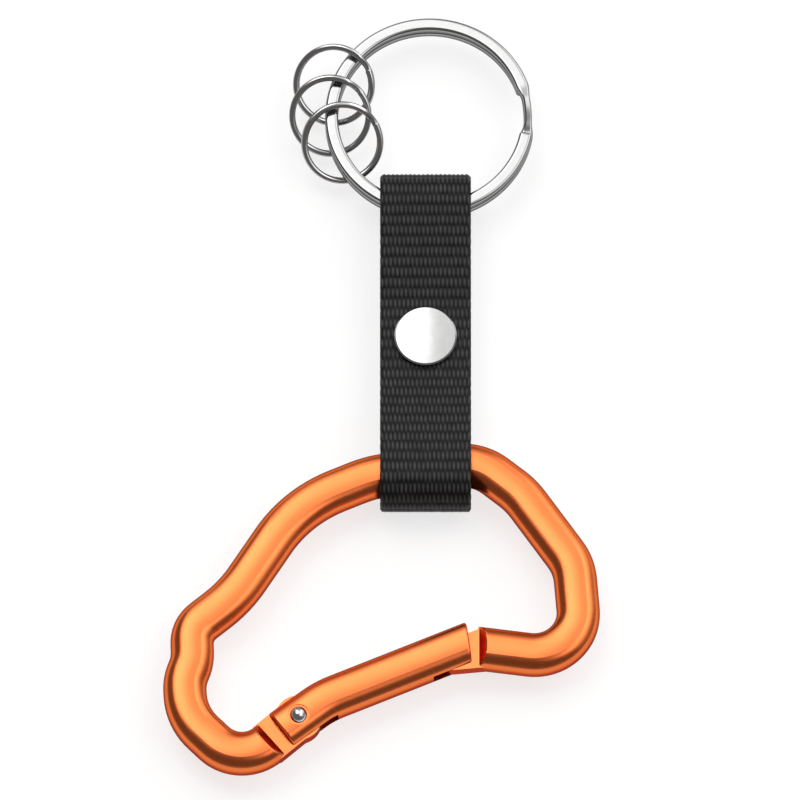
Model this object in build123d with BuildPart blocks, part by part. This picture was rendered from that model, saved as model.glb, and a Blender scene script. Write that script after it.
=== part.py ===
"""Carabiner key holder: a bent bar with a sprung gate, a loop of webbing, a split ring and small rings.

It lies flat. +Z is up, +Y runs from the carabiner to the split ring, and the origin is on the surface
that it lies on, below the middle of the whole object. All sizes are in millimetres and degrees.
"""
from build123d import *
import os
from math import asin, atan2, cos, degrees, radians, sin, tan

os.makedirs("parts", exist_ok=True)

# Bar of the carabiner: a rounded section with slightly crowned upper and lower faces.
BAR_WIDTH = 7.2
BAR_DEPTH = 5.7
BAR_CROWN_RADIUS = 12.0
BAR_EDGE_RADIUS = 2.4
CUT_EDGE_RADIUS = 0.4

# Webbing strap: one strip, folded round the bar and round the split ring, its ends lapped at the back.
STRAP_WIDTH = 15.2
STRAP_THICKNESS = 1.2
STRAP_CENTRE_X = 7.3
LAYER_GAP = 0.08
BAR_FOLD_RADIUS = 4.1
BAR_FOLD_Y = -15.25
RING_FOLD_RADIUS = 2.9
RING_FOLD_Y = 35.0
RIVET_Y = 9.6
BAR_FOLD_STRAIGHT = 4.0
RING_FOLD_STRAIGHT = 1.4
LAP_HALF_LENGTH = 4.8
PINCH_HALF_LENGTH = 6.2
WEBBING_BEND = 10.0
FOLD_EASE = 0.02

# The middle plane of the whole chain, which the lower fold of the strap holds off the surface.
MID = BAR_FOLD_RADIUS + STRAP_THICKNESS
MID_PLANE = Plane.XY.offset(MID)

# Bends of the bar from the hinge round to the nose: corner points and the radius at each corner.
PIVOT = (-13.8, -57.4)
BENDS = [
    (-23.5, -65.7),
    (-32.4, -57.0),
    (-32.8, -50.6),
    (-31.4, -47.2),
    (-31.6, -41.6),
    (-24.4, -35.7),
    (-14.1, -19.8),
    (-1.8, -14.6),
    (15.9, -12.0),
    (23.2, -17.8),
    (32.0, -30.3),
    (33.4, -47.1),
]
BEND_RADII = [6.6, 10.0, 8.0, 8.0, 5.0, 23.5, 23.5, 20.0, 9.0, 14.0, 9.5, 7.3]
NOSE_END = (15.6, -44.8)

# Hinge end: a flat tang with a round end, which the forked end of the gate straddles.
TANG_THICKNESS = 2.4
TANG_RADIUS = 3.9
TANG_FLAT = 3.0
SHOULDER_FROM_PIVOT = 5.9
SHOULDER_SLOPE_RUN = 1.5
PIVOT_RADIUS = 0.95
RUNNING_CLEARANCE = 0.05

# Nose end: a tongue of the same thickness, which slides into the slot in the gate.
NOSE_SHOULDER_X = 16.2
NOSE_SLOPE_RUN = 1.2
TONGUE = [(18.5, -41.9), (16.4, -41.7), (9.9, -44.3), (10.1, -49.2), (18.5, -48.4)]
TONGUE_TIP_RADIUS = 1.8

# Gate: the same bar, straight but for one bend near the hinge.
GATE_BEND = (-9.5, -54.15)
GATE_BEND_RADIUS = 16.0
GATE_ANGLE = 22.7
GATE_LENGTH = 27.5
GATE_STUB = 3.7
GATE_END = (14.5, -44.1)
GATE_END_ANGLE = 8.0
FORK_SLOT = 2.6
FORK_SLOT_END = 1.0
NOSE_SLOT_START = 18.2
NOSE_SLOT_TOP = 1.9
RIVET_HEAD_RADIUS = 1.4
RIVET_HEAD_SEAT = 2.6
RIVET_HEAD_RIM = 0.15
RIVET_HEAD_DOME = 0.95
RIVET_SEAT_RADIUS = 1.8

# Closing spring and its plunger, in a bore along the straight part of the gate.
BORE_RADIUS = 1.4
BORE_END = 14.5
PLUNGER_GAP = 0.1
PLUNGER_TIP_RADIUS = 1.1
PLUNGER_HEAD_LENGTH = 2.6
SPRING_WIRE = 0.35
SPRING_TURNS = 11

# Rivet through the three layers of webbing, with a plain domed cap in front and a plate behind.
CAP_RADIUS = 5.2
CAP_RIM = 0.6
CAP_DOME = 0.25
CAP_BEVEL = 0.25
POST_SOCKET = 0.6
POST_RADIUS = 1.6
PLATE_RADIUS = 4.6
PLATE_THICKNESS = 0.6
POST_HEAD_RADIUS = 2.4
POST_HEAD_HEIGHT = 0.35

# Split rings: outside radius, radial width of the wire, height of one wrap, gap between the wraps.
RING_CENTRE = (8.0, 49.1)
RING_RADIUS = 17.5
RING_WIRE = 2.2
RING_WRAP = 1.7
RING_GAP = 0.1
RING_EDGE = 0.35
RING_END_ANGLE = -9.0
STEP_SPAN = 29.0
STEP_LEAD = 6.0
STEP_TAIL = 2.0
SMALL_RADIUS = 6.9
SMALL_WIRE = 1.1
SMALL_WRAP = 0.65
SMALL_GAP = 0.06
SMALL_EDGE = 0.18
SMALL_TILT = 27.0
SMALL_CENTRES = [(-8.0, 55.2), (-8.6, 49.7), (-6.6, 44.9)]
SMALL_END_ANGLES = [22.0, 39.0, 32.0]


def direction(angle):
    """Unit vector in the middle plane at this angle from +X."""
    return Vector(cos(radians(angle)), sin(radians(angle)), 0)


def plan_frame(point, angle):
    """Plane parallel to the middle plane, with its origin at the point and its x axis at the angle."""
    return Plane(origin=(*point, MID), x_dir=direction(angle), z_dir=(0, 0, 1))


def section_frame(point, angle):
    """Plane across a bar that runs at the angle: x is across the bar and y is up."""
    return Plane(origin=(*point, MID), x_dir=direction(angle + 90), z_dir=direction(angle))


def side_frame(point, angle):
    """Upright plane along a bar that runs at the angle: x is along the bar and y is up."""
    return Plane(origin=(*point, MID), x_dir=direction(angle), z_dir=direction(angle - 90))


def heading(start, end):
    """Angle from +X of the straight line from one plan point to another."""
    return degrees(atan2(end[1] - start[1], end[0] - start[0]))


def along(point, angle, distance):
    """Plan point at this distance from another, in the direction of the angle."""
    return (point[0] + distance * cos(radians(angle)), point[1] + distance * sin(radians(angle)))


def dome_arc(half_width, base, height):
    """Arc of a dome, from its rim up to its top on the y axis, with its centre on that axis."""
    radius = (half_width**2 + height**2) / (2 * height)
    half_angle = asin(half_width / radius) / 2
    middle = (radius * sin(half_angle), base + height - radius * (1 - cos(half_angle)))
    return ThreePointArc((half_width, base), middle, (0, base + height))


def shoulder_outline(run, length):
    """Upper and lower outlines of what is cut away to leave a tang or tongue after a sloped shoulder."""
    for side in (-1, 1):
        Polygon(
            (0, side * TANG_THICKNESS / 2),
            (-run, side * BAR_DEPTH / 2),
            (-run, side * BAR_DEPTH),
            (length, side * BAR_DEPTH),
            (length, side * TANG_THICKNESS / 2),
            align=None,
        )


# Section of the bar: a rectangle under two shallow arcs, with its four edges rounded.
crown_centre = BAR_CROWN_RADIUS - BAR_DEPTH / 2
with BuildSketch() as bar_section:
    Rectangle(BAR_WIDTH, BAR_DEPTH)
    for side in (-1, 1):
        with Locations((0, side * crown_centre)):
            Circle(BAR_CROWN_RADIUS, mode=Mode.INTERSECT)
    fillet(bar_section.vertices().filter_by(lambda v: abs(v.X) > BAR_WIDTH / 2 - 0.01), BAR_EDGE_RADIUS)

hinge_angle = heading(BENDS[0], PIVOT)
shoulder = along(PIVOT, hinge_angle, -SHOULDER_FROM_PIVOT)

with BuildPart() as carabiner_body:
    with BuildLine(MID_PLANE) as spine:
        FilletPolyline(shoulder, *BENDS, NOSE_END, radius=BEND_RADII)
    with BuildSketch(section_frame(shoulder, hinge_angle + 180)):
        add(bar_section.sketch)
    sweep(path=spine.line)
    # Sloped shoulders at the hinge and at the nose.
    with BuildSketch(side_frame(shoulder, hinge_angle)):
        shoulder_outline(SHOULDER_SLOPE_RUN, 1)
    extrude(amount=BAR_WIDTH, both=True, mode=Mode.SUBTRACT)
    with BuildSketch(side_frame((NOSE_SHOULDER_X, NOSE_END[1]), 180)):
        shoulder_outline(NOSE_SLOPE_RUN, 2)
    extrude(amount=BAR_WIDTH, both=True, mode=Mode.SUBTRACT)
    slopes = carabiner_body.faces().filter_by(GeomType.PLANE)
    slopes = slopes.filter_by(lambda face: 0.5 < abs(face.normal_at().Z) < 0.9)
    rims = slopes.edges().filter_by(lambda edge: abs(edge.center().Z - MID) > BAR_DEPTH / 3)
    fillet(rims, CUT_EDGE_RADIUS)
    # Tongue at the nose.
    with BuildSketch(MID_PLANE) as tongue:
        Polygon(*TONGUE, align=None)
        fillet(tongue.vertices().sort_by(Axis.X)[:2], TONGUE_TIP_RADIUS)
    extrude(amount=TANG_THICKNESS / 2, both=True)
    # Tang at the hinge: a round end with a flat for the plunger, and the hole for the pivot.
    with BuildSketch(plan_frame(PIVOT, hinge_angle)):
        with Locations((-SHOULDER_FROM_PIVOT / 2 - 0.5, 0)):
            Rectangle(SHOULDER_FROM_PIVOT + 1, BAR_WIDTH)
        Circle(TANG_RADIUS)
        Circle(PIVOT_RADIUS + RUNNING_CLEARANCE, mode=Mode.SUBTRACT)
        with Locations(Rotation(0, 0, GATE_ANGLE - hinge_angle)):
            with Locations((TANG_FLAT + TANG_RADIUS, 0)):
                Rectangle(2 * TANG_RADIUS, 4 * TANG_RADIUS, mode=Mode.SUBTRACT)
    extrude(amount=TANG_THICKNESS / 2, both=True)

# The gate is laid out along the axis of its straight part, counted from the bend near the hinge.
fork_angle = heading(PIVOT, GATE_BEND)
fork_end = along(PIVOT, fork_angle, -GATE_STUB)
gate_tip = along(GATE_BEND, GATE_ANGLE, GATE_LENGTH)
gate_axis = plan_frame(GATE_BEND, GATE_ANGLE)

with BuildPart() as gate:
    with BuildLine(MID_PLANE) as gate_line:
        FilletPolyline(fork_end, GATE_BEND, gate_tip, radius=GATE_BEND_RADIUS)
    with BuildSketch(section_frame(fork_end, fork_angle)):
        add(bar_section.sketch)
    sweep(path=gate_line.line)
    with BuildSketch(plan_frame(GATE_END, GATE_END_ANGLE)):
        with Locations((BAR_WIDTH, 0)):
            Rectangle(2 * BAR_WIDTH, 4 * BAR_WIDTH)
    extrude(amount=BAR_DEPTH, both=True, mode=Mode.SUBTRACT)
    # Slot of the fork, and the slot for the tongue, which is open at the end and on the outside.
    with BuildSketch(gate_axis):
        Polygon(
            (FORK_SLOT_END, -2 * BAR_WIDTH),
            (FORK_SLOT_END, 2 * BAR_WIDTH),
            (-3 * BAR_WIDTH, 2 * BAR_WIDTH),
            (-3 * BAR_WIDTH, -2 * BAR_WIDTH),
            align=None,
        )
        Polygon(
            (NOSE_SLOT_START, -2 * BAR_WIDTH),
            (NOSE_SLOT_START, NOSE_SLOT_TOP),
            (GATE_LENGTH, NOSE_SLOT_TOP),
            (GATE_LENGTH, -2 * BAR_WIDTH),
            align=None,
        )
    extrude(amount=FORK_SLOT / 2, both=True, mode=Mode.SUBTRACT)
    # Bore for the closing spring, and the holes and seats of the pivot rivet.
    with BuildSketch(section_frame(along(GATE_BEND, GATE_ANGLE, FORK_SLOT_END), GATE_ANGLE)):
        Circle(BORE_RADIUS)
    extrude(amount=BORE_END - FORK_SLOT_END, mode=Mode.SUBTRACT)
    with BuildSketch(plan_frame(PIVOT, 0)):
        Circle(PIVOT_RADIUS)
    extrude(amount=BAR_DEPTH, both=True, mode=Mode.SUBTRACT)
    for side in (-1, 1):
        with BuildSketch(plan_frame(PIVOT, 0).offset(side * RIVET_HEAD_SEAT)):
            Circle(RIVET_SEAT_RADIUS)
        extrude(amount=side * BAR_DEPTH, mode=Mode.SUBTRACT)
    # Rounded rims at both ends of the gate.
    for outward in (direction(fork_angle + 180), direction(GATE_END_ANGLE)):
        end_faces = gate.faces().filter_by(GeomType.PLANE)
        end_faces = end_faces.filter_by(lambda face: face.normal_at().dot(outward) > 0.999)
        rims = end_faces.edges().filter_by(lambda edge: abs(edge.center().Z - MID) > 0.6 * FORK_SLOT)
        fillet(rims, CUT_EDGE_RADIUS)

with BuildPart() as gate_pivot_rivet:
    with BuildSketch(side_frame(PIVOT, 0)):
        with BuildLine():
            Polyline(
                (0, 0),
                (PIVOT_RADIUS, 0),
                (PIVOT_RADIUS, RIVET_HEAD_SEAT),
                (RIVET_HEAD_RADIUS, RIVET_HEAD_SEAT),
                (RIVET_HEAD_RADIUS, RIVET_HEAD_SEAT + RIVET_HEAD_RIM),
            )
            dome_arc(RIVET_HEAD_RADIUS, RIVET_HEAD_SEAT + RIVET_HEAD_RIM, RIVET_HEAD_DOME)
            Line((0, RIVET_HEAD_SEAT + RIVET_HEAD_RIM + RIVET_HEAD_DOME), (0, 0))
        make_face()
    revolve(axis=Axis((*PIVOT, MID), (0, 0, 1)))
    mirror(about=MID_PLANE)

# Distances along the gate's axis: the pivot, then the plunger's tip, its head and the spring's ends.
pivot_along = (Vector(*PIVOT) - Vector(*GATE_BEND)).dot(direction(GATE_ANGLE))
tip_along = pivot_along + TANG_FLAT + PLUNGER_GAP
head_along = FORK_SLOT_END + PLUNGER_GAP
spring_along = head_along + PLUNGER_HEAD_LENGTH + SPRING_WIRE / 2 + LAYER_GAP
spring_length = BORE_END - spring_along - SPRING_WIRE / 2 - LAYER_GAP

with BuildPart() as gate_plunger:
    with BuildSketch(section_frame(along(GATE_BEND, GATE_ANGLE, head_along), GATE_ANGLE)):
        Circle(BORE_RADIUS - RUNNING_CLEARANCE)
    extrude(amount=PLUNGER_HEAD_LENGTH)
    tip_centre = along(GATE_BEND, GATE_ANGLE, tip_along + PLUNGER_TIP_RADIUS)
    with BuildSketch(section_frame(tip_centre, GATE_ANGLE)):
        Circle(PLUNGER_TIP_RADIUS)
    extrude(amount=head_along - tip_along)
    with Locations(plan_frame(tip_centre, GATE_ANGLE)):
        Sphere(PLUNGER_TIP_RADIUS)

with BuildPart() as gate_spring:
    coil_radius = BORE_RADIUS - RUNNING_CLEARANCE - SPRING_WIRE
    coil_start = along(GATE_BEND, GATE_ANGLE, spring_along)
    with BuildLine() as coil:
        Helix(
            spring_length / SPRING_TURNS,
            spring_length,
            coil_radius,
            center=(*coil_start, MID),
            direction=direction(GATE_ANGLE),
        )
    with BuildSketch(Plane(origin=coil.line @ 0, z_dir=coil.line % 0)):
        Circle(SPRING_WIRE / 2)
    sweep(path=coil.line, is_frenet=True)

# Webbing: heights of its layers and folds are counted from the middle plane.
layer = STRAP_THICKNESS + LAYER_GAP
bar_fold = BAR_FOLD_RADIUS + STRAP_THICKNESS / 2
ring_fold = RING_FOLD_RADIUS + STRAP_THICKNESS / 2
strap_side = Plane(origin=(STRAP_CENTRE_X, 0, MID), x_dir=(0, 1, 0), z_dir=(1, 0, 0))

with BuildPart() as webbing_strap:
    with BuildLine(strap_side) as strip:
        FilletPolyline(
            (RIVET_Y + LAP_HALF_LENGTH, -layer),
            (RIVET_Y - PINCH_HALF_LENGTH, -layer),
            (BAR_FOLD_Y + BAR_FOLD_STRAIGHT, -bar_fold),
            (BAR_FOLD_Y - bar_fold, -bar_fold),
            (BAR_FOLD_Y - bar_fold, bar_fold),
            (BAR_FOLD_Y + BAR_FOLD_STRAIGHT, bar_fold),
            (RIVET_Y - PINCH_HALF_LENGTH, layer),
            (RIVET_Y + PINCH_HALF_LENGTH, layer),
            (RING_FOLD_Y - RING_FOLD_STRAIGHT, ring_fold),
            (RING_FOLD_Y + ring_fold, ring_fold),
            (RING_FOLD_Y + ring_fold, -ring_fold),
            (RING_FOLD_Y - RING_FOLD_STRAIGHT, -ring_fold),
            (RIVET_Y + PINCH_HALF_LENGTH, 0),
            (RIVET_Y - LAP_HALF_LENGTH, 0),
            radius=[
                WEBBING_BEND,
                WEBBING_BEND,
                bar_fold - FOLD_EASE,
                bar_fold - FOLD_EASE,
                WEBBING_BEND,
                WEBBING_BEND,
                WEBBING_BEND,
                WEBBING_BEND,
                ring_fold - FOLD_EASE,
                ring_fold - FOLD_EASE,
                WEBBING_BEND,
                WEBBING_BEND,
            ],
        )
    with BuildSketch(Plane(origin=strip.line @ 0, x_dir=(1, 0, 0), z_dir=strip.line % 0)):
        Rectangle(STRAP_WIDTH, STRAP_THICKNESS)
    sweep(path=strip.line)
    with BuildSketch(plan_frame((STRAP_CENTRE_X, RIVET_Y), 0)):
        Circle(POST_RADIUS + RUNNING_CLEARANCE)
    extrude(amount=BAR_DEPTH, both=True, mode=Mode.SUBTRACT)

# Rivet stack, revolved about the axis of its post. The webbing is this thick on each side of the middle.
stack = layer + STRAP_THICKNESS / 2
rivet_side = side_frame((STRAP_CENTRE_X, RIVET_Y), 0)
rivet_axis = Axis((STRAP_CENTRE_X, RIVET_Y, MID), (0, 0, 1))

with BuildPart() as rivet_cap:
    with BuildSketch(rivet_side):
        with BuildLine():
            Polyline(
                (0, stack),
                (CAP_RADIUS - CAP_BEVEL, stack),
                (CAP_RADIUS, stack + CAP_BEVEL),
                (CAP_RADIUS, stack + CAP_RIM),
                (CAP_RADIUS - CAP_BEVEL, stack + CAP_RIM + CAP_BEVEL),
            )
            dome_arc(CAP_RADIUS - CAP_BEVEL, stack + CAP_RIM + CAP_BEVEL, CAP_DOME)
            Line((0, stack + CAP_RIM + CAP_BEVEL + CAP_DOME), (0, stack))
        make_face()
    revolve(axis=rivet_axis)
    with BuildSketch(plan_frame((STRAP_CENTRE_X, RIVET_Y), 0).offset(stack)):
        Circle(POST_RADIUS)
    extrude(amount=POST_SOCKET, mode=Mode.SUBTRACT)

with BuildPart() as rivet_post:
    with BuildSketch(rivet_side):
        Polygon(
            (0, stack + POST_SOCKET),
            (POST_RADIUS, stack + POST_SOCKET),
            (POST_RADIUS, -stack - PLATE_THICKNESS),
            (POST_HEAD_RADIUS, -stack - PLATE_THICKNESS),
            (POST_RADIUS, -stack - PLATE_THICKNESS - POST_HEAD_HEIGHT),
            (0, -stack - PLATE_THICKNESS - POST_HEAD_HEIGHT),
            align=None,
        )
    revolve(axis=rivet_axis)

with BuildPart() as rivet_plate:
    with BuildSketch(rivet_side):
        Polygon(
            (POST_RADIUS, -stack),
            (PLATE_RADIUS, -stack),
            (PLATE_RADIUS - PLATE_THICKNESS, -stack - PLATE_THICKNESS),
            (POST_RADIUS, -stack - PLATE_THICKNESS),
            align=None,
        )
    revolve(axis=rivet_axis)


def wire_ring(radius, wire, wrap, gap, edge, end_angle):
    """Split ring of two flat wraps, about the origin, whose upper wrap ends at this angle.

    Going clockwise, the upper wrap runs from its end almost all the way round, steps down beside that
    end to the lower level, and goes round again beneath.
    """
    level = (wrap + gap) / 2
    middle = radius - wire / 2
    step_angle = end_angle + STEP_SPAN / 2
    step_top = middle * tan(radians(STEP_SPAN / 2 - STEP_LEAD))
    step_foot = -middle * tan(radians(STEP_SPAN / 2 - STEP_TAIL))
    with BuildPart() as step:
        with BuildSketch(Plane((0, 0, 0), x_dir=direction(step_angle + 90), z_dir=direction(step_angle))):
            Polygon(
                (radius, level + wrap / 2),
                (step_top, level + wrap / 2),
                (step_foot, wrap / 2 - level),
                (-radius, wrap / 2 - level),
                (-radius, -level - wrap / 2),
                (step_foot, -level - wrap / 2),
                (step_top, level - wrap / 2),
                (radius, level - wrap / 2),
                align=None,
            )
        extrude(amount=2 * radius)
        with BuildSketch(Plane((0, 0, 0), x_dir=direction(end_angle), z_dir=direction(end_angle - 90))):
            with Locations((middle, 0)):
                Rectangle(wire, 4 * wrap)
        revolve(axis=Axis.Z, revolution_arc=STEP_SPAN, mode=Mode.INTERSECT)
    with BuildPart() as ring:
        add(step.part)
        for height, span in ((level, STEP_SPAN), (-level, STEP_SPAN - STEP_LEAD / 2)):
            start = end_angle + span
            with BuildSketch(Plane((0, 0, 0), x_dir=direction(start), z_dir=direction(start - 90))):
                with Locations((middle, height)):
                    RectangleRounded(wire, wrap, edge)
            revolve(axis=Axis.Z, revolution_arc=360 - span)
    return ring.part


def small_ring_frame(centre):
    """Frame of a small ring: tilted about the line from the large ring's centre, and leaning to -Y."""
    outward = radians(heading(RING_CENTRE, centre))
    lean = sin(radians(SMALL_TILT))
    normal = (lean * -sin(outward), lean * cos(outward), cos(radians(SMALL_TILT)))
    return Plane(origin=(*centre, MID), x_dir=(cos(outward), sin(outward), 0), z_dir=normal)


large_ring = wire_ring(RING_RADIUS, RING_WIRE, RING_WRAP, RING_GAP, RING_EDGE, RING_END_ANGLE)
with BuildPart() as split_ring:
    with Locations((*RING_CENTRE, MID)):
        add(large_ring)

pieces = {
    "carabiner_body": carabiner_body,
    "gate": gate,
    "gate_pivot_rivet": gate_pivot_rivet,
    "gate_plunger": gate_plunger,
    "gate_spring": gate_spring,
    "webbing_strap": webbing_strap,
    "rivet_cap": rivet_cap,
    "rivet_post": rivet_post,
    "rivet_plate": rivet_plate,
    "split_ring": split_ring,
}

for number, (centre, end_angle) in enumerate(zip(SMALL_CENTRES, SMALL_END_ANGLES), start=1):
    frame = small_ring_frame(centre)
    own_end_angle = end_angle - heading(RING_CENTRE, centre)
    loose_ring = wire_ring(SMALL_RADIUS, SMALL_WIRE, SMALL_WRAP, SMALL_GAP, SMALL_EDGE, own_end_angle)
    with BuildPart() as small_ring:
        with Locations(frame.location):
            add(loose_ring)
    pieces[f"small_ring_{number}"] = small_ring

for name, piece in pieces.items():
    piece.part.label = name
    export_step(piece.part, f"parts/{name}.step")
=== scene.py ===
"""Looks of the carabiner key holder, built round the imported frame.

Lengths are in millimetres until a mesh is made, and Blender then works in metres. The strap, the large
split ring and the three small rings are made here, and stand for their plain solids. The bar, the gate
and the rivets keep their exact solids, and get their finish here.
"""
import math

import bpy
import numpy as np
from mathutils import Matrix, Vector


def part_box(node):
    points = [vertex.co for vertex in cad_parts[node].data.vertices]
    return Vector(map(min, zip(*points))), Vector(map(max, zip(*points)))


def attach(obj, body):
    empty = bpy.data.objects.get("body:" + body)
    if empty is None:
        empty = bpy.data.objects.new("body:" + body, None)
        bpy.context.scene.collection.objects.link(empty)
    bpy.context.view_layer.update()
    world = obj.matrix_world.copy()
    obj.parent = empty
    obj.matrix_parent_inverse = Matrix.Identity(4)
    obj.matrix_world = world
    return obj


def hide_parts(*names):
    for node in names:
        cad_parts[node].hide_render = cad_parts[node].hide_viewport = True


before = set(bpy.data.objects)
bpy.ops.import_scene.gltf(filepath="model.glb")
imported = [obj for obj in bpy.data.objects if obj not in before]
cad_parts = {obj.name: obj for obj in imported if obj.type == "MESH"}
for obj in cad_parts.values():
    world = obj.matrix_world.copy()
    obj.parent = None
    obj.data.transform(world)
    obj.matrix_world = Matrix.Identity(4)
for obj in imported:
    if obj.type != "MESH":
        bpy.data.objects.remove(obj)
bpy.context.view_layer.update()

MM = 0.001

# Webbing, as it is folded in the frame: heights are from the middle plane, lengths run along Y.
STRAP_THICKNESS = 1.2
LAYER = 1.28
BAR_FOLD = 4.7
BAR_FOLD_Y = -15.25
BAR_FOLD_STRAIGHT = 4.0
RING_FOLD = 3.5
RING_FOLD_Y = 35.0
RING_FOLD_STRAIGHT = 1.4
RIVET_Y = 9.6
LAP_HALF_LENGTH = 4.8
PINCH_HALF_LENGTH = 6.2
WEBBING_BEND = 10.0
FOLD_EASE = 0.02

# Weave: rows of warp knuckles, each row set off by half a knuckle from the one before.
ROW_PITCH = 1.79
ROW_STEPS = 7
KNUCKLES_ACROSS = 21
KNUCKLE_STEPS = 6
KNUCKLE_HEIGHT = 0.3
KNUCKLE_HALF_LENGTH = 0.515
KNUCKLE_END_ROUNDING = 0.2
KNUCKLE_ROUNDNESS = 0.8
KNUCKLE_SHOULDER = 2.2
ROW_UNEVENNESS = 0.02
HEIGHT_UNEVENNESS = 0.05
CREST_LIMIT = 1.1
FACE_SEED = 5
BACK_SEED = 8
BACK_STEPS = 42
SELVEDGE = 0.55
SELVEDGE_SCALLOP = 0.07
SCALLOP_REACH = 8
SEALED_END = 0.5
SEALED_SHARE = 0.35

# Split rings: the upper wrap steps down beside its own cut end, and goes round again beneath. On the
# step the wire is pinched narrower and rolled over. An edge of 0 makes its section a full oval.
RING = {"wire": 2.2, "wrap": 1.7, "gap": 0.1, "edge": 0.5, "pinch": 0.42, "roll": 9.0, "tip": 0.6}
SMALL_RING = {"wire": 1.04, "wrap": 0.65, "gap": 0.06, "edge": 0.0, "pinch": 0.0, "roll": 0.0, "tip": 0.3}
RING_END_ANGLE = -10.5
SMALL_END_ANGLES = {"small_ring_1": 22.0, "small_ring_2": 39.0, "small_ring_3": 32.0}
SMALL_TILT = 27.0
SMALL_RADIUS = 6.9
STEP_SPAN = 30.5
STEP_START = 5.0
STEP_END = 1.0
PINCH_RAMP = 0.3
LOWER_TIP = 27.5
UPPER_TIP_SHARE = 0.8
LOWER_TIP_SHARE = 0.5
OVAL_STEPS = 24
EDGE_STEPS = 6
EDGE_HOLD = 0.25


# --- Meshes ---------------------------------------------------------------------------------------


def add_mesh(name, points, faces):
    """A smooth-shaded object made from points in millimetres."""
    mesh = bpy.data.meshes.new(name)
    mesh.from_pydata((np.asarray(points) * MM).tolist(), [], faces)
    mesh.shade_smooth()
    mesh.validate()
    thing = bpy.data.objects.new(name, mesh)
    bpy.context.scene.collection.objects.link(thing)
    return thing


def tube_faces(rings, around):
    """Quads between the rings of a closed tube, and a cap at each end."""
    start = np.arange(rings - 1)[:, None] * around
    here = np.arange(around)[None]
    after = (here + 1) % around
    quads = np.stack([start + here, start + after, start + around + after, start + around + here], axis=-1)
    faces = quads.reshape(-1, 4).tolist()
    faces.append(list(range(around))[::-1])
    faces.append(list(range((rings - 1) * around, rings * around)))
    return faces


def stand_for(piece, node, body, material):
    """Puts a made piece in the place of a solid of the frame."""
    piece.data.materials.append(material)
    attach(piece, body)
    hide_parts(node)


def unit(vector):
    return vector / np.linalg.norm(vector)


def route_spans(corners, radii):
    """Straight runs (from, to) and arcs (centre, first spoke, turn) between them, and their lengths."""
    corners = [np.array(c, float) for c in corners]
    spans = []
    lengths = []
    at = corners[0]
    for before, corner, after, radius in zip(corners, corners[1:], corners[2:], radii):
        inward = unit(before - corner)
        outward = unit(after - corner)
        half = math.acos(np.clip(inward @ outward, -1, 1)) / 2
        touch = corner + inward * radius / math.tan(half)
        centre = corner + unit(inward + outward) * radius / math.sin(half)
        turn = math.pi - 2 * half
        side = math.copysign(1, inward[1] * outward[0] - inward[0] * outward[1])
        spans += [(at, touch), (centre, touch - centre, turn * side)]
        lengths += [np.linalg.norm(touch - at), radius * turn]
        at = corner + outward * radius / math.tan(half)
    spans.append((at, corners[-1]))
    lengths.append(np.linalg.norm(corners[-1] - at))
    return spans, lengths


def rounded_route(corners, radii, spacing):
    """Points and directions at equal spacing along straight runs that are joined by arcs."""
    spans, lengths = route_spans(corners, radii)
    ends = np.cumsum(lengths)
    count = round(ends[-1] / spacing) + 1
    points = []
    directions = []
    for place in np.linspace(0, ends[-1], count):
        index = min(int(np.searchsorted(ends, place)), len(spans) - 1)
        share = (place - (ends[index] - lengths[index])) / lengths[index]
        if len(spans[index]) == 2:
            start, end = spans[index]
            points.append(start + (end - start) * share)
            directions.append((end - start) / lengths[index])
        else:
            centre, spoke, turn = spans[index]
            cos, sin = math.cos(turn * share), math.sin(turn * share)
            turned = np.array([[cos, -sin], [sin, cos]]) @ spoke
            points.append(centre + turned)
            directions.append(unit(np.array([-turned[1], turned[0]])) * math.copysign(1, turn))
    return np.array(points), np.array(directions), ends[-1]


def weave_height(along, across, pitch_across, seed):
    """Height from 0 to 1 of the woven face, over a grid of places along and across the strip."""
    rng = np.random.default_rng(seed)
    rows, columns = 400, 64
    uneven = rng.normal(0, 1, (rows, columns, 3))
    s, w = np.meshgrid(along, across, indexing="ij")
    height = np.zeros_like(s)
    for row_step in (-1, 0, 1):
        row = np.floor(s / ROW_PITCH).astype(int) + row_step
        shift = np.where(row % 2 == 0, 0.0, 0.5)
        for step in (-1, 0, 1):
            column = np.floor(w / pitch_across - shift).astype(int) + step
            odd = uneven[row % rows, column % columns]
            ds = s - (row + 0.5 + ROW_UNEVENNESS * odd[..., 0]) * ROW_PITCH
            dw = np.abs(w / pitch_across - (column + 0.5 + shift)) * 2
            reach = KNUCKLE_HALF_LENGTH * ROW_PITCH * (1 - KNUCKLE_END_ROUNDING * dw**2)
            lengthwise = np.sqrt(np.clip(1 - (ds / reach) ** 2, 0, None))
            crosswise = 1 - KNUCKLE_ROUNDNESS * np.clip(dw, 0, 1) ** KNUCKLE_SHOULDER
            own = lengthwise * crosswise * (dw < 1.01)
            height = np.maximum(height, own * (1 + HEIGHT_UNEVENNESS * odd[..., 2]))
    return np.clip(height, 0, CREST_LIMIT) / CREST_LIMIT


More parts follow.
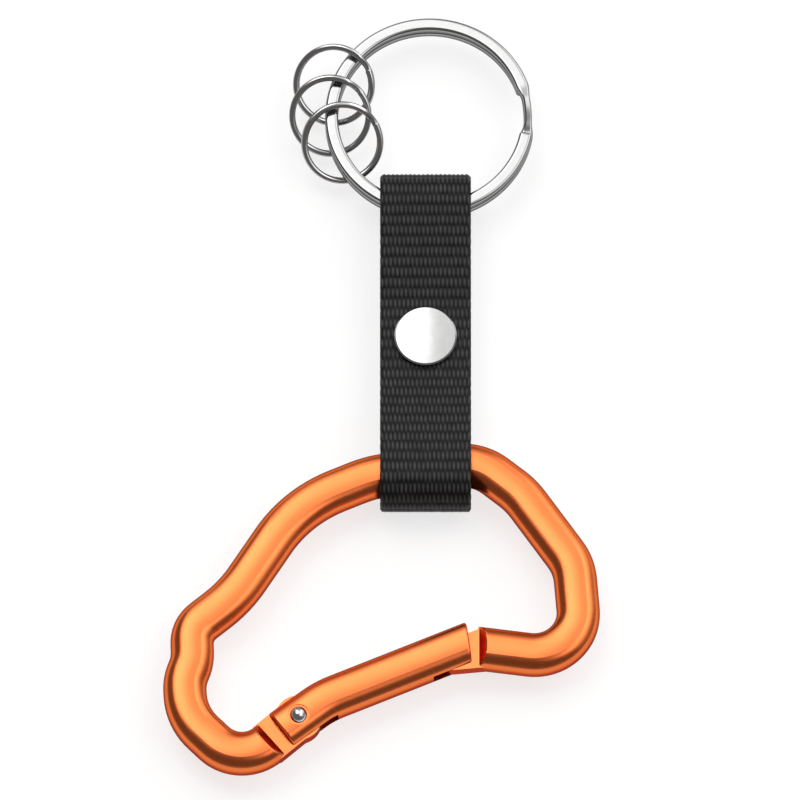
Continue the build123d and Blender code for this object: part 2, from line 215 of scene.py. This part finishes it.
def strap_route():
    """Middle of the webbing's thickness, as Y and height: its points, its directions and its length."""
    corners = [
        (RIVET_Y + LAP_HALF_LENGTH, -LAYER),
        (RIVET_Y - PINCH_HALF_LENGTH, -LAYER),
        (BAR_FOLD_Y + BAR_FOLD_STRAIGHT, -BAR_FOLD),
        (BAR_FOLD_Y - BAR_FOLD, -BAR_FOLD),
        (BAR_FOLD_Y - BAR_FOLD, BAR_FOLD),
        (BAR_FOLD_Y + BAR_FOLD_STRAIGHT, BAR_FOLD),
        (RIVET_Y - PINCH_HALF_LENGTH, LAYER),
        (RIVET_Y + PINCH_HALF_LENGTH, LAYER),
        (RING_FOLD_Y - RING_FOLD_STRAIGHT, RING_FOLD),
        (RING_FOLD_Y + RING_FOLD, RING_FOLD),
        (RING_FOLD_Y + RING_FOLD, -RING_FOLD),
        (RING_FOLD_Y - RING_FOLD_STRAIGHT, -RING_FOLD),
        (RIVET_Y + PINCH_HALF_LENGTH, 0),
        (RIVET_Y - LAP_HALF_LENGTH, 0),
    ]
    bends = [WEBBING_BEND] * 2 + [BAR_FOLD - FOLD_EASE] * 2 + [WEBBING_BEND] * 4
    bends += [RING_FOLD - FOLD_EASE] * 2 + [WEBBING_BEND] * 2
    return rounded_route(corners, bends, ROW_PITCH / ROW_STEPS)


def edge_curve(places, width):
    """Share of the full thickness that is left towards the rounded selvedges."""
    inside = np.clip((width / 2 - np.abs(places)) / SELVEDGE, 0, 1)
    return np.sqrt(1 - (1 - inside) ** 2)


def drawn_in(places, width, scallop):
    """Places across the strip, with the selvedge drawn in a little between the rows."""
    return places * (1 - scallop * (np.abs(places) / (width / 2)) ** SCALLOP_REACH / (width / 2))


def keep_on_points(thing, name, kind, field, values):
    """Stores a value for each point of a mesh, for its material to read."""
    attribute = thing.data.attributes.new(name, kind, "POINT")
    attribute.data.foreach_set(field, values.astype(np.float32).ravel())


def woven_strap(material):
    """The webbing, woven all along its outer face, from its lapped end on the back to its inner end."""
    low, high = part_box("webbing_strap")
    middle_x = (low.x + high.x) / 2 / MM
    middle_z = (low.z + high.z) / 2 / MM
    width = (high.x - low.x) / MM
    centres, directions, length = strap_route()
    outward = np.stack([directions[:, 1], -directions[:, 0]], axis=1)
    along = np.linspace(0, length, len(centres))

    pitch = width / KNUCKLES_ACROSS
    face = np.linspace(-width / 2, width / 2, KNUCKLES_ACROSS * KNUCKLE_STEPS + 1)
    back = np.linspace(width / 2, -width / 2, BACK_STEPS + 1)
    crest = weave_height(along, face + width / 2, pitch, FACE_SEED)
    back_crest = weave_height(along, back + width / 2, pitch, BACK_SEED)

    core = STRAP_THICKNESS / 2 - KNUCKLE_HEIGHT
    seal = np.clip(np.minimum(along, length - along) / SEALED_END, 0, 1)
    seal = SEALED_SHARE + (1 - SEALED_SHARE) * np.sqrt(1 - (1 - seal) ** 2)
    top = (core + KNUCKLE_HEIGHT * crest) * edge_curve(face, width) * seal[:, None]
    under = -(core + KNUCKLE_HEIGHT * back_crest) * edge_curve(back, width) * seal[:, None]
    scallop = SELVEDGE_SCALLOP * (1 - np.abs(np.sin(math.pi * along / ROW_PITCH)))[:, None]
    x_under = drawn_in(back, width, scallop)
    x = np.concatenate([drawn_in(face, width, scallop), x_under[:, 1:-1]], axis=1)
    lift = np.concatenate([top, under[:, 1:-1]], axis=1)
    crests = np.concatenate([crest, back_crest[:, 1:-1]], axis=1)

    points = np.empty((*x.shape, 3))
    points[..., 0] = middle_x + x
    points[..., 1] = centres[:, None, 0] + outward[:, None, 0] * lift
    points[..., 2] = middle_z + centres[:, None, 1] + outward[:, None, 1] * lift
    strap = add_mesh("woven_strap", points.reshape(-1, 3), tube_faces(*x.shape))

    place = np.stack([x, np.broadcast_to(along[:, None], x.shape), lift], axis=-1)
    # The crest height also feeds the webbing's painted shade in the gaps between the knuckles.
    keep_on_points(strap, "crest", "FLOAT", "value", crests)
    keep_on_points(strap, "strip", "FLOAT_VECTOR", "vector", place)
    stand_for(strap, "webbing_strap", "strap", material)


def wire_section(wire, wrap, edge):
    """Outline of a wire, anticlockwise: an oval, or flat with rounded edges and close points by them."""
    if not edge:
        turns = np.linspace(0, 2 * math.pi, OVAL_STEPS, endpoint=False)
        return np.stack([np.cos(turns), np.sin(turns)], axis=1) * (wire / 2, wrap / 2)
    outline = []
    for corner, (sx, sy) in enumerate([(1, 1), (-1, 1), (-1, -1), (1, -1)]):
        turns = np.radians(90 * corner + np.linspace(0, 90, EDGE_STEPS))
        centre = np.array([sx * (wire / 2 - edge), sy * (wrap / 2 - edge)])
        arc = centre + edge * np.stack([np.cos(turns), np.sin(turns)], axis=1)
        hold = EDGE_HOLD * edge
        tangent_in = np.array([math.sin(turns[0]), -math.cos(turns[0])])
        tangent_out = np.array([-math.sin(turns[-1]), math.cos(turns[-1])])
        outline += [arc[0] + hold * tangent_in, *arc, arc[-1] + hold * tangent_out]
    return np.array(outline)


def smooth_step(value):
    """From 0 to 1 with a level start and end."""
    value = np.clip(value, 0, 1)
    return value * value * (3 - 2 * value)


def wire_ring(name, radius, end_angle, wire, wrap, gap, edge, pinch, roll, tip):
    """Split ring about the origin, whose upper wrap ends at this angle, in degrees."""
    level = (wrap + gap) / 2
    middle = radius - wire / 2
    turn_length = math.radians(1) * middle
    last = 720 - LOWER_TIP
    foot = 360 - STEP_SPAN
    # Close sections round off both cut ends.
    rounding = tip * (1 - np.cos(np.linspace(0, math.pi / 2, 6)))
    swept = np.concatenate([
        rounding / turn_length,
        np.arange(math.ceil(tip / turn_length) + 1, foot, 2.0),
        np.arange(foot, 361, 1.0),
        np.arange(363, last - tip / turn_length - 1, 2.0),
        last - rounding[::-1] / turn_length,
    ])
    from_end = np.minimum(swept, last - swept) * turn_length
    taper = np.sqrt(np.clip(1 - (1 - np.clip(from_end / tip, 0, 1)) ** 2, 0, 1))
    tip_share = np.where(swept < last / 2, UPPER_TIP_SHARE, LOWER_TIP_SHARE)
    shrink = tip_share + (1 - tip_share) * taper

    step = (swept - foot - STEP_START) / (STEP_SPAN - STEP_START - STEP_END)
    height = level * (1 - 2 * smooth_step(step))
    share = (swept - foot) / STEP_SPAN
    pinched = smooth_step(np.minimum(share, 1 - share) / PINCH_RAMP)
    narrow = 1 - pinch * pinched
    lean = np.radians(-roll) * pinched

    section = wire_section(wire, wrap, edge)
    across = section[None, :, 0] * (narrow * shrink)[:, None]
    upward = section[None, :, 1] * shrink[:, None]
    turned = across * np.cos(lean)[:, None] - upward * np.sin(lean)[:, None]
    raised = across * np.sin(lean)[:, None] + upward * np.cos(lean)[:, None]
    outside = turned.max(axis=1, keepdims=True)
    turned = turned - np.clip(outside - wire / 2, 0, None)
    angle = np.radians(end_angle - swept)[:, None]
    points = np.stack([
        (middle + turned) * np.cos(angle),
        (middle + turned) * np.sin(angle),
        height[:, None] + raised,
    ], axis=-1)
    return add_mesh(name, points.reshape(-1, 3), tube_faces(len(swept), len(section)))


def box_middle(node):
    """Middle of a solid's box, in metres."""
    low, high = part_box(node)
    return (low + high) / 2


def large_ring(material):
    """The large split ring, flat in the middle plane."""
    low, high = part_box("split_ring")
    radius = (high.x - low.x) / 2 / MM
    ring = wire_ring("keyring", radius, RING_END_ANGLE, **RING)
    ring.data.transform(Matrix.Translation(box_middle("split_ring")))
    stand_for(ring, "split_ring", "split_ring", material)


def small_rings(material):
    """The small rings, each leaning on the large one about the line from the large ring's centre."""
    hub = box_middle("split_ring")
    for node, end_angle in SMALL_END_ANGLES.items():
        centre = box_middle(node)
        outward = math.atan2(centre.y - hub.y, centre.x - hub.x)
        ring = wire_ring("loose_" + node, SMALL_RADIUS, end_angle - math.degrees(outward), **SMALL_RING)
        lean = Matrix.Rotation(outward, 4, "Z") @ Matrix.Rotation(math.radians(-SMALL_TILT), 4, "X")
        ring.data.transform(Matrix.Translation(centre) @ lean)
        stand_for(ring, node, node, material)


# --- Materials ------------------------------------------------------------------------------------

# The mix node's colour sockets share their names with its number sockets, so they go by their places.
MIX_FIRST_COLOUR = 6
MIX_SECOND_COLOUR = 7
MIX_COLOUR = 2


class Finish:
    """A material under construction, with short ways to add the nodes that it needs."""

    def __init__(self, name, colour, roughness, metallic=0.0, **sockets):
        self.material = bpy.data.materials.new(name)
        self.material.use_nodes = True
        self.tree = self.material.node_tree
        self.shader = self.tree.nodes["Principled BSDF"]
        self.shader.inputs["Base Color"].default_value = (*colour, 1)
        self.shader.inputs["Roughness"].default_value = roughness
        self.shader.inputs["Metallic"].default_value = metallic
        for socket, value in sockets.items():
            self.shader.inputs[socket.replace("_", " ")].default_value = value

    def node(self, kind, **inputs):
        made = self.tree.nodes.new("ShaderNode" + kind)
        for socket, value in inputs.items():
            socket = made.inputs[socket.replace("_", " ")]
            if isinstance(value, bpy.types.NodeSocket):
                self.tree.links.new(value, socket)
            else:
                socket.default_value = value
        return made

    def place(self, stretch=(1000, 1000, 1000), turn=0.0):
        """Place on the object, in millimetres when the stretch is 1000."""
        coordinates = self.node("TexCoord")
        moved = self.node("Mapping", Vector=coordinates.outputs["Object"], Scale=stretch)
        moved.inputs["Rotation"].default_value = (0, 0, turn)
        return moved.outputs["Vector"]

    def noise(self, vector, scale, detail=2.0):
        made = self.node("TexNoise", Vector=vector, Scale=scale, Detail=detail)
        return made.outputs["Fac"]

    def spread(self, value, low, high, from_low=0.3, from_high=0.7):
        """The value, mapped from its usual range to low and high."""
        limits = {"From_Min": from_low, "From_Max": from_high, "To_Min": low, "To_Max": high}
        return self.node("MapRange", Value=value, **limits).outputs["Result"]

    def tint(self, share, first, second):
        """Colour from the first to the second, as the share goes from 0 to 1."""
        made = self.tree.nodes.new("ShaderNodeMix")
        made.data_type = "RGBA"
        self.tree.links.new(share, made.inputs["Factor"])
        made.inputs[MIX_FIRST_COLOUR].default_value = (*first, 1)
        made.inputs[MIX_SECOND_COLOUR].default_value = (*second, 1)
        return made.outputs[MIX_COLOUR]

    def use(self, output, socket):
        self.tree.links.new(output, self.shader.inputs[socket])

    def bump(self, height, distance, strength=1.0):
        made = self.node("Bump", Height=height, Distance=distance * MM, Strength=strength)
        self.use(made.outputs["Normal"], "Normal")


def anodised_aluminium():
    """Dyed satin aluminium: fine blasted grain under the dye, and faint polishing marks."""
    finish = Finish("anodised_orange", (0.8, 0.18, 0.05), 0.24, 1.0, Coat_Weight=0.12, Coat_Roughness=0.15)
    finish.shader.inputs["Specular Tint"].default_value = (0.08, 0.05, 0.04, 1)
    place = finish.place()
    grain = finish.noise(place, 9.0, 3.0)
    marks = finish.noise(finish.place((350, 5200, 350), math.radians(38)), 1.0, 3.0)
    cloud = finish.spread(finish.noise(place, 0.12, 2.0), 0, 1)
    finish.use(finish.tint(cloud, (0.79, 0.173, 0.047), (0.81, 0.188, 0.054)), "Base Color")
    finish.use(finish.spread(marks, 0.22, 0.27), "Roughness")
    finish.bump(grain, 0.004, 0.7)
    return finish.material


def plated_metal(name, colour, roughness, bump, **sockets):
    """Bright plated or polished metal with soft unevenness and fine handling marks."""
    finish = Finish(name, colour, roughness, 1.0, **sockets)
    finish.shader.inputs["Specular Tint"].default_value = (0.25, 0.25, 0.25, 1)
    place = finish.place()
    cloud = finish.noise(place, 0.8, 3.0)
    hairs = finish.noise(finish.place((900, 9000, 900), math.radians(25)), 1.0, 4.0)
    finish.use(finish.spread(hairs, roughness * 0.75, roughness * 1.35), "Roughness")
    dull = tuple(c * 0.94 for c in colour)
    finish.use(finish.tint(finish.spread(cloud, 0, 1), dull, colour), "Base Color")
    finish.bump(cloud, bump)
    return finish.material


def webbing():
    """Black woven polyester: painted shade darkens the gaps between the knuckles, and fine filaments along
    the yarns.
    """
    finish = Finish("black_webbing", (0.02, 0.02, 0.021), 0.45)
    finish.shader.inputs["Specular IOR Level"].default_value = 0.14
    strip = finish.node("Attribute")
    strip.attribute_name = "strip"
    crest = finish.node("Attribute")
    crest.attribute_name = "crest"
    fibres = finish.node("Mapping", Vector=strip.outputs["Vector"], Scale=(14.0, 1.6, 3.0))
    filaments = finish.noise(fibres.outputs["Vector"], 1.0, 4.0)
    yarns = finish.node("Mapping", Vector=strip.outputs["Vector"], Scale=(1.3, 0.5, 1.0))
    uneven = finish.noise(yarns.outputs["Vector"], 1.0, 2.0)
    # Painted shade: the colour darkens from each knuckle's crest down into the gaps between knuckles and
    # rows, where shade falls; the filament and yarn noise add random tone on top.
    lit = finish.node("Math", Value=crest.outputs["Fac"])
    lit.operation = "POWER"
    lit.inputs[1].default_value = 1.4
    shade = finish.node("Math", Value=finish.spread(lit.outputs["Value"], 0.0, 1.0, 0.18, 0.95))
    shade.operation = "MULTIPLY"
    finish.tree.links.new(finish.spread(filaments, 0.75, 1.3), shade.inputs[1])
    shade_and_tone = finish.node("Math", Value=shade.outputs["Value"])
    shade_and_tone.operation = "MULTIPLY"
    finish.tree.links.new(finish.spread(uneven, 0.8, 1.2), shade_and_tone.inputs[1])
    # The gap colour is painted shade for the grooves, and the yarn colour is the black of the crests.
    gap, yarn = (0.006, 0.006, 0.0062), (0.066, 0.066, 0.067)
    finish.use(finish.tint(shade_and_tone.outputs["Value"], gap, yarn), "Base Color")
    finish.use(finish.spread(filaments, 0.36, 0.56), "Roughness")
    finish.bump(filaments, 0.03, 0.8)
    return finish.material


# --- Camera and light -----------------------------------------------------------------------------

# Brightness of the room against the direction's X and Y, and then its Z, from -1 to 1.
LEFT_BOX = (
    [(-0.63, 0.0), (-0.55, 0.2), (-0.45, 0.7), (-0.36, 1.0), (-0.2, 1.0), (-0.05, 0.85), (0.1, 0.3),
     (0.3, 0.04), (0.5, 0.0)],
    [(-0.02, 0.0), (0.08, 0.25), (0.2, 1.0), (0.45, 1.0), (0.65, 0.7), (0.8, 0.3), (0.97, 0.03)],
)
RIGHT_BOX = (
    [(0.0, 0.0), (0.14, 0.12), (0.28, 0.4), (0.4, 1.0), (0.52, 0.9), (0.7, 0.5), (0.85, 0.2), (0.95, 0.05)],
    [(-0.48, 0.0), (-0.36, 0.3), (-0.22, 0.75), (0.1, 0.9), (0.45, 1.0), (0.7, 0.7), (0.95, 0.2)],
)
WALLS = [(-0.1, 1.0), (-0.02, 1.0), (0.0, 0.35), (0.1, 0.24), (0.4, 0.17), (1.0, 0.17)]
WALL_COLOUR = (1.0, 0.94, 0.91)


def long_lens_camera():
    """Long lens, high above the object and leaning back towards -Y, as in a catalogue picture."""
    elevation = math.radians(70)
    distance = 5.0
    seen_width = 0.13333
    aim = Vector((0.00304, -0.00089, box_middle("carabiner_body").z))
    data = bpy.data.cameras.new("camera")
    data.sensor_width = 36.0
    data.lens = data.sensor_width * distance / seen_width
    data.clip_start = 0.1
    data.clip_end = 20.0
    camera = bpy.data.objects.new("camera", data)
    camera.location = aim + distance * Vector((0, -math.cos(elevation), math.sin(elevation)))
    camera.rotation_euler = (math.pi / 2 - elevation, 0, 0)
    bpy.context.scene.collection.objects.link(camera)
    bpy.context.scene.camera = camera


def brightness_profile(tree, value, stops):
    """Brightness of the room along a direction's part: stops of place, from -1 to 1, and brightness."""
    spread = tree.nodes.new("ShaderNodeMapRange")
    tree.links.new(value, spread.inputs["Value"])
    spread.inputs["From Min"].default_value = -1
    ramp = tree.nodes.new("ShaderNodeValToRGB")
    ramp.color_ramp.interpolation = "EASE"
    tree.links.new(spread.outputs["Result"], ramp.inputs["Fac"])
    elements = ramp.color_ramp.elements
    elements[0].position = (stops[0][0] + 1) / 2
    elements[0].color = (*[stops[0][1]] * 3, 1)
    elements[1].position = (stops[-1][0] + 1) / 2
    elements[1].color = (*[stops[-1][1]] * 3, 1)
    for place, level in stops[1:-1]:
        elements.new((place + 1) / 2).color = (level, level, level, 1)
    return ramp.outputs["Color"]


def combine(tree, operation, first, second):
    """Sum or product of two numbers, each of them fixed or from another node."""
    made = tree.nodes.new("ShaderNodeMath")
    made.operation = operation
    for socket, value in zip(made.inputs, (first, second)):
        if isinstance(value, bpy.types.NodeSocket):
            tree.links.new(value, socket)
        else:
            socket.default_value = value
    return made.outputs["Value"]


def soft_box(tree, parts, brightness, profiles):
    """A soft-edged lit rectangle of the sky, seen from the object."""
    sideways = brightness_profile(tree, parts.outputs["X"], profiles[0])
    lengthways = brightness_profile(tree, parts.outputs["Y"], profiles[1])
    upward = brightness_profile(tree, parts.outputs["Z"], [(0.0, 0.0), (0.03, 0.0), (0.2, 1.0)])
    shape = combine(tree, "MULTIPLY", combine(tree, "MULTIPLY", sideways, lengthways), upward)
    return combine(tree, "MULTIPLY", shape, brightness)


def soft_room():
    """Light of a studio: a wide soft box overhead, a narrower one to the right, and dim walls."""
    world = bpy.data.worlds.new("studio")
    bpy.context.scene.world = world
    world.use_nodes = True
    tree = world.node_tree
    coordinates = tree.nodes.new("ShaderNodeTexCoord")
    parts = tree.nodes.new("ShaderNodeSeparateXYZ")
    tree.links.new(coordinates.outputs["Generated"], parts.inputs["Vector"])
    overhead = soft_box(tree, parts, 3.4, LEFT_BOX)
    strip = soft_box(tree, parts, 2.8, RIGHT_BOX)
    walls = brightness_profile(tree, parts.outputs["Z"], WALLS)
    background = tree.nodes["Background"]
    background.inputs["Color"].default_value = (1, 1, 1, 1)
    tree.links.new(combine(tree, "ADD", overhead, strip), background.inputs["Strength"])
    dim = tree.nodes.new("ShaderNodeBackground")
    dim.inputs["Color"].default_value = (*WALL_COLOUR, 1)
    tree.links.new(walls, dim.inputs["Strength"])
    both = tree.nodes.new("ShaderNodeAddShader")
    tree.links.new(background.outputs["Background"], both.inputs[0])
    tree.links.new(dim.outputs["Background"], both.inputs[1])
    tree.links.new(both.outputs["Shader"], tree.nodes["World Output"].inputs["Surface"])


def soft_key():
    """Broad lamp overhead that lights cloth and floor, but is not mirrored in the metal."""
    data = bpy.data.lights.new("key", "AREA")
    data.shape = "RECTANGLE"
    data.size = 1.2
    data.size_y = 0.9
    data.energy = 2
    lamp = bpy.data.objects.new("key", data)
    lamp.location = (-0.35, 0.45, 1.3)
    lamp.rotation_euler = (-lamp.location).to_track_quat("-Z", "Y").to_euler()
    lamp.visible_glossy = False
    bpy.context.scene.collection.objects.link(lamp)


def pale_floor():
    """Plain floor that glows a little, so that it shows as near white as the walls around it."""
    half = 3.0
    corners = [(-half, -half, 0), (half, -half, 0), (half, half, 0), (-half, half, 0)]
    mesh = bpy.data.meshes.new("floor")
    mesh.from_pydata(corners, [], [(0, 1, 2, 3)])
    floor = bpy.data.objects.new("floor", mesh)
    bpy.context.scene.collection.objects.link(floor)
    glow = {"Emission_Color": (1, 1, 1, 1), "Emission_Strength": 0.74}
    finish = Finish("pale_floor", (0.28, 0.28, 0.28), 0.9, **glow)
    mesh.materials.append(finish.material)


# --- The whole object -----------------------------------------------------------------------------

orange = anodised_aluminium()
rivet_metal = plated_metal("rivet_steel", (0.62, 0.62, 0.63), 0.12, 0.004)
spring_metal = plated_metal("spring_steel", (0.5, 0.5, 0.51), 0.25, 0.01)
cap_metal = plated_metal("polished_cap", (0.46, 0.46, 0.46), 0.12, 0.006)
nickel = plated_metal("nickel_plate", (0.385, 0.385, 0.385), 0.1, 0.003)
dark_steel = plated_metal("small_ring_steel", (0.52, 0.52, 0.525), 0.08, 0.002)

FINISHES = {
    "carabiner_body": orange,
    "gate": orange,
    "gate_pivot_rivet": rivet_metal,
    "gate_plunger": rivet_metal,
    "gate_spring": spring_metal,
    "rivet_cap": cap_metal,
    "rivet_post": rivet_metal,
    "rivet_plate": rivet_metal,
}
for node, material in FINISHES.items():
    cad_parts[node].data.materials.clear()
    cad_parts[node].data.materials.append(material)

long_lens_camera()
woven_strap(webbing())
large_ring(nickel)
small_rings(dark_steel)
soft_room()
soft_key()
pale_floor()
bpy.context.scene.view_settings.view_transform = "Standard"
